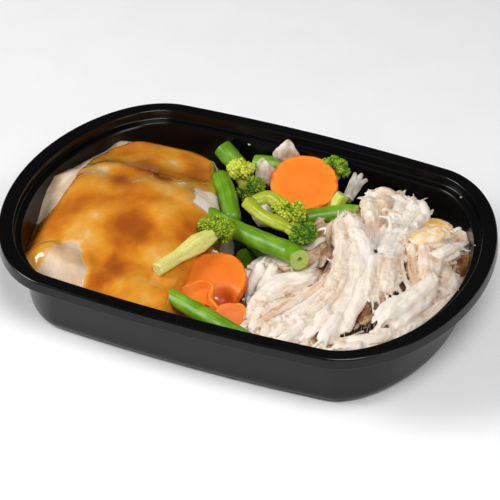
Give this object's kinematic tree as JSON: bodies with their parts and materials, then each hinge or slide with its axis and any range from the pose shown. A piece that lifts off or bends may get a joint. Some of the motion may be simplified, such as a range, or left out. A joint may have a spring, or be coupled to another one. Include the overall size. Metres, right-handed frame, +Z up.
{
  "type": "ready meal tray",
  "caption": "Ready meal in a black plastic tray with rounded ends: gravy over mashed potato, mixed vegetables and shredded chicken breast.",
  "frame": {"origin": "under the middle of the tray, on the surface that it stands on", "axes": "+X along the tray's length, from the mashed potato to the chicken; +Y across it, away from the picture's camera; +Z up"},
  "size_m": [0.22, 0.16, 0.0412],
  "materials": {
    "tray": "black moulded polypropylene, smooth and softly glossy",
    "mash": "cream white mashed potato, moist and slightly lumpy",
    "gravy": "amber brown gravy, wet and translucent, darker where it is deep",
    "chicken": "cooked white chicken, fibrous, with brown edges and a little jus",
    "carrot": "cooked carrot, bright orange, moist",
    "bean": "cooked green bean skin, satin and moist, pale green inside",
    "broccoli": "cooked broccoli, yellow green stems and dark green buds",
    "pale_vegetable": "cooked cauliflower and onion, translucent white"
  },
  "bodies": {
    "root": {"bean_back": "bean", "bean_bent": "bean", "bean_front": "bean", "bean_long": "bean", "bean_low_left": "bean", "bean_low_right": "bean", "bean_right": "bean", "bean_wall": "bean", "broccoli_back": "broccoli", "broccoli_curled": "broccoli", "broccoli_cut": "broccoli", "broccoli_far": "broccoli", "broccoli_front": "broccoli", "broccoli_long": "broccoli", "carrot_curl": "carrot", "carrot_slice_corner": "carrot", "carrot_slice_front": "carrot", "carrot_slice_top": "carrot", "cauliflower_back": "pale_vegetable", "cauliflower_middle": "pale_vegetable", "cauliflower_side": "pale_vegetable", "gravy": "gravy", "mashed_potato": "mash", "onion_shred": "pale_vegetable", "shredded_chicken": "chicken", "tray": "tray"}
  },
  "joints": []
}
